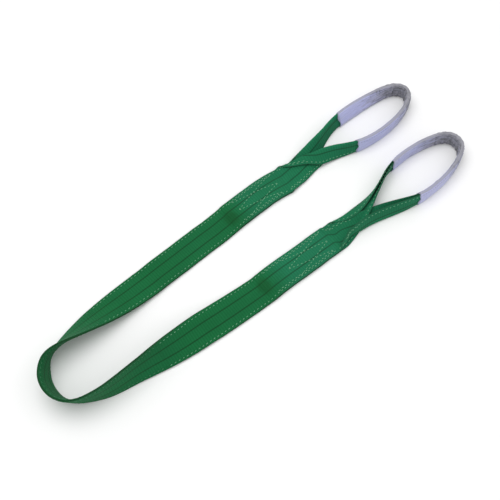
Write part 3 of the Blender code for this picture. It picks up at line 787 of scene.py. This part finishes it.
def build_sleeve(letter, eye, mat):
    """The sleeve: a close tube of cloth, creased at its top and bottom edges and pleated round the tip."""
    o, z, v, girth = sleeve_outline()
    length = eye.s1 - eye.s0
    n = int(length / 0.0019) + 1
    f = np.linspace(0, 1, n)
    mouth0 = 0.0016 * np.sin(2 * math.pi * v * 2 + 0.6) + 0.0012 * np.sin(2 * math.pi * v * 5 + 1.0)
    mouth1 = 0.0018 * np.sin(2 * math.pi * v * 2 + 2.6) + 0.0012 * np.sin(2 * math.pi * v * 3 + 0.3)
    t2 = eye.s0 + mouth0[None, :] * (1 - f[:, None]) ** 6 + length * f[:, None] + mouth1[None, :] * f[:, None] ** 6
    flat_t = t2.ravel()
    x, y, tx, ty, ox, oy = (a.reshape(t2.shape) for a in eye.frame(flat_t))
    right, left = (a.reshape(t2.shape) for a in eye.limits(flat_t))
    lean = (right + left) / 2 - (-math.pi / 2 if eye.run_a else math.pi / 2)
    # How hard the eye turns here, which is what pleats the cloth.
    e = 0.006
    _, _, ax, ay, _, _ = eye.frame(flat_t - e)
    _, _, bx, by, _, _ = eye.frame(flat_t + e)
    bend = (np.abs(ax * by - ay * bx) / (2 * e)).reshape(t2.shape)
    hard = smooth((bend - 3.0) / 16.0)
    inner_side = smooth((-o / (SLEEVE_THICK / 2) + 0.35) / 1.2)[None, :]
    seed = 60 if eye.run_a else 80
    tz = t2 + 0.12 * z[None, :] + 0.0012 * np.sin(z[None, :] * 260 + t2 * 90)
    crumple = (np.sin(2 * math.pi * t2 / 0.0083 + 2.2 * np.sin(z[None, :] * 150)) * 0.55
               + np.sin(2 * math.pi * tz / 0.0127 + 1.3) * 0.6 + np.sin(2 * math.pi * tz / 0.0049 + z[None, :] * 210) * 0.28)
    soft = wander(tz, seed, 0.05) * 0.5 + wander(t2 - 0.4 * z[None, :], seed + 1, 0.022) * 0.28
    out = crumple * hard * (0.00045 + 0.00125 * inner_side) + soft * (0.00038 + 0.0003 * hard)
    # The faces stand a little proud of the folded webbing, and the free edge is uneven.
    side = np.sign(o)[None, :] * np.abs(o / (SLEEVE_THICK / 2))[None, :] ** 0.5
    grow = 1 + 0.020 * wander(t2, seed + 2, 0.06) + hard * (0.045 * wander(t2, seed + 3, 0.011) - 0.012)
    lump = 0.0
    if not eye.run_a:
        lump = np.exp(-((t2 - (eye.s0 + 0.046)) / 0.0032) ** 2) * 0.0016 * np.clip(z / (SLEEVE_HEIGHT / 2), 0, 1)[None, :]
    zz = z[None, :] * grow + lump
    oo = o[None, :] + side * np.maximum(out, -0.0004)
    cut = SLEEVE_HEIGHT / 2 * np.cos(lean) + 0.0015 * np.abs(np.sin(lean))
    hh = oo * np.cos(lean) - zz * np.sin(lean)
    up = oo * np.sin(lean) + zz * np.cos(lean) + cut
    hh = hh + 0.0
    shell = np.stack([x + ox * hh, y + oy * hh, up], -1)
    shell[..., 2] = np.maximum(shell[..., 2], 0.0)
    # The inside wall, one cloth thickness in.
    around = np.roll(shell, -1, 1) - np.roll(shell, 1, 1)
    along = np.gradient(shell, axis=0)
    normal = np.cross(around, along)
    normal /= np.maximum(np.linalg.norm(normal, axis=-1), 1e-12)[..., None]
    centre = shell.mean(1, keepdims=True)
    if ((shell - centre) * normal).sum() < 0:
        normal = -normal
    smooth_normal = (np.roll(normal, 1, 1) + normal * 2 + np.roll(normal, -1, 1))
    smooth_normal /= np.linalg.norm(smooth_normal, axis=-1)[..., None]
    inside = shell - smooth_normal * 0.0009
    inside[..., 2] = np.maximum(inside[..., 2], 0.0006)
    m = len(v)
    points = np.concatenate([shell.reshape(-1, 3), inside.reshape(-1, 3)])
    outer = grid_faces(n, m)
    inner = [face[::-1] for face in grid_faces(n, m, n * m)]
    rim = []
    for j in range(m):
        k = (j + 1) % m
        rim.append([j, n * m + j, n * m + k, k])
        last, deep = (n - 1) * m, n * m + (n - 1) * m
        rim.append([last + j, last + k, deep + k, deep + j])
    uv = np.stack([t2 - eye.s0, np.broadcast_to(v[None, :], t2.shape)], -1).reshape(-1, 2)
    obj = add_mesh(f"eye_{letter}_sleeve_cloth", points, outer + inner + rim, np.concatenate([uv, uv]), mat)
    return obj, girth, length, (shell, normal, v, t2)


eyes = {}
for letter in "ab":
    eye = Eye(letter)
    eyes[letter] = eye
    t = stations(eye.t0, eye.t1)
    grid = eye.skin(t, EYE_U, EYE_Q)
    base = eye.cut
    uv = np.stack(np.broadcast_arrays((t - eye.t0)[:, None], EYE_U[None, :] + HALF), -1)
    ring = loft(f"eye_{letter}_webbing_ply", grid, uv, web_eye)
    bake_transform(ring)
    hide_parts(f"eye_{letter}_webbing")

    # Edge rows of sewing on both legs, out to the sleeve.
    threads = Threads()
    # On eye A's far leg the thread has sunk into the webbing, so it shows only near the splice.
    far = eye.t1 - 0.050 if eye.run_a else eye.s1 - 0.004
    for begin, finish in ((eye.t0 + 0.002, eye.s0 + 0.004), (far, eye.t1 - 0.002)):
        every = np.arange(begin + PITCH * 0.45, finish, PITCH)
        early = begin < eye.s0
        for edge in (-1, 1):
            for face in (1.0, -1.0):
                u = np.array([edge * SEAM])
                mids = every
                if early and not eye.run_a and edge == -1:
                    mids = every[every < eye.t0 + 0.055]
                skin = eye.skin(mids, u, np.array([face]))[:, 0]
                ahead = eye.skin(mids + 0.001, u, np.array([face]))[:, 0]
                behind = eye.skin(mids - 0.001, u, np.array([face]))[:, 0]
                beside = eye.skin(mids, u + 0.001, np.array([face]))[:, 0]
                d = ahead - behind
                d /= np.linalg.norm(d, axis=1)[:, None]
                a = beside - skin
                n = np.cross(d, a)
                n /= np.linalg.norm(n, axis=1)[:, None]
                ref = eye.normals(mids, u)[0][:, 0] * face
                n *= np.sign((n * ref).sum(1))[:, None]
                threads.add(skin + n * 0.00008, d, n)
                if early:
                    first = mids[: 7] + 0.0036
                    skin2 = eye.skin(first, u - edge * 0.0026, np.array([face]))[:, 0]
                    threads.add(skin2 + n[: len(first)] * 0.00008, d[: len(first)], n[: len(first)])
    obj = threads.build(f"stitches_eye_{letter}", thread_mat)
    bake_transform(obj)

    # The sleeve and its closing seam.
    tip_t = eye.knots[7 + 12] if eye.run_a else eye.knots[7 + 13]
    mat = sleeve_material(f"sleeve_cloth_{letter}", eye.s1 - eye.s0, tip_t - eye.s0, 20.0 if eye.run_a else 27.0)
    sleeve, girth, length, (shell, normal, v, t2) = build_sleeve(letter, eye, mat)
    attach(sleeve, f"eye_{letter}")
    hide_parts(f"eye_{letter}_sleeve")
    column = int(round(0.155 * len(v)))
    rows = np.arange(4, shell.shape[0] - 4, 3)
    threads = Threads()
    d = shell[rows + 1, column] - shell[rows - 1, column]
    d /= np.linalg.norm(d, axis=1)[:, None]
    threads.add(shell[rows, column] + normal[rows, column] * 0.00006, d, normal[rows, column])
    obj = threads.build(f"eye_{letter}_sleeve_stitches", sleeve_thread_mat, length=0.0034, radius=0.00040)
    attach(obj, f"eye_{letter}")
    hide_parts(f"eye_{letter}_sleeve_seam")

# ------------------------------------------------------------------ what each piece stands for
NODES = {
    "run_a_end": ("run_a_end",), "run_a_mid": ("run_a_mid",), "bend": ("bend",), "run_b_end": ("run_b_mid", "run_b_end"),
}
for name, segments in NODES.items():
    for face in ("top", "bottom"):
        obj, length = plies[name, face]
        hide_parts(*[f"{segment}_{face}_ply" for segment in segments])
        other = "floor" if face == "bottom" else f"webbing_{name}_bottom_ply"
    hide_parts(*[f"{segment}_{edge}_edge_seam" for segment in segments for edge in ("outer", "inner")])
for letter, name in (("a", "run_a_end"), ("b", "run_b_end")):
    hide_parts(f"splice_{letter}_outer_second_row", f"splice_{letter}_inner_second_row",
                f"splice_{letter}_p_vee_seam", f"splice_{letter}_q_vee_seam")

# ------------------------------------------------------------------ stage, light and camera
bm = bmesh.new()
bmesh.ops.create_grid(bm, x_segments=1, y_segments=1, size=30.0)
floor_mesh = bpy.data.meshes.new("floor")
bm.to_mesh(floor_mesh)
bm.free()
floor = bpy.data.objects.new("floor", floor_mesh)
floor.location = (0, 0, -0.0004)
g = Nodes("floor_paint")
g.shader.inputs["Base Color"].default_value = (0.86, 0.86, 0.86, 1)
g.shader.inputs["Roughness"].default_value = 0.9
floor_mesh.materials.append(g.mat)
bpy.context.scene.collection.objects.link(floor)

bpy.context.scene.view_settings.view_transform = "Standard"
world = bpy.data.worlds.new("studio")
world.use_nodes = True
world.node_tree.nodes["Background"].inputs["Color"].default_value = (1.0, 1.0, 1.0, 1)
world.node_tree.nodes["Background"].inputs["Strength"].default_value = 0.80
bpy.context.scene.world = world


def lamp(name, where, target, size, power):
    data = bpy.data.lights.new(name, "AREA")
    data.shape, data.size, data.energy = "DISK", size, power
    obj = bpy.data.objects.new(name, data)
    obj.location = where
    obj.rotation_euler = (Vector(target) - Vector(where)).to_track_quat("-Z", "Y").to_euler()
    bpy.context.scene.collection.objects.link(obj)


lamp("key", (-0.3, 0.5, 2.6), (0, 0, 0), 2.4, 34)
lamp("fill", (1.4, -1.2, 2.0), (0, 0, 0), 2.6, 7)

camera_data = bpy.data.cameras.new("camera")
camera_data.lens, camera_data.sensor_width = 58.46, 36
camera_data.clip_start, camera_data.clip_end = 0.05, 30
camera = bpy.data.objects.new("camera", camera_data)
camera.location = (-0.4617, -0.5331, 1.3244)
camera.rotation_euler = (Vector((-0.01375, 0.01028, 0)) - camera.location).to_track_quat("-Z", "Y").to_euler()
bpy.context.scene.collection.objects.link(camera)
bpy.context.scene.camera = camera
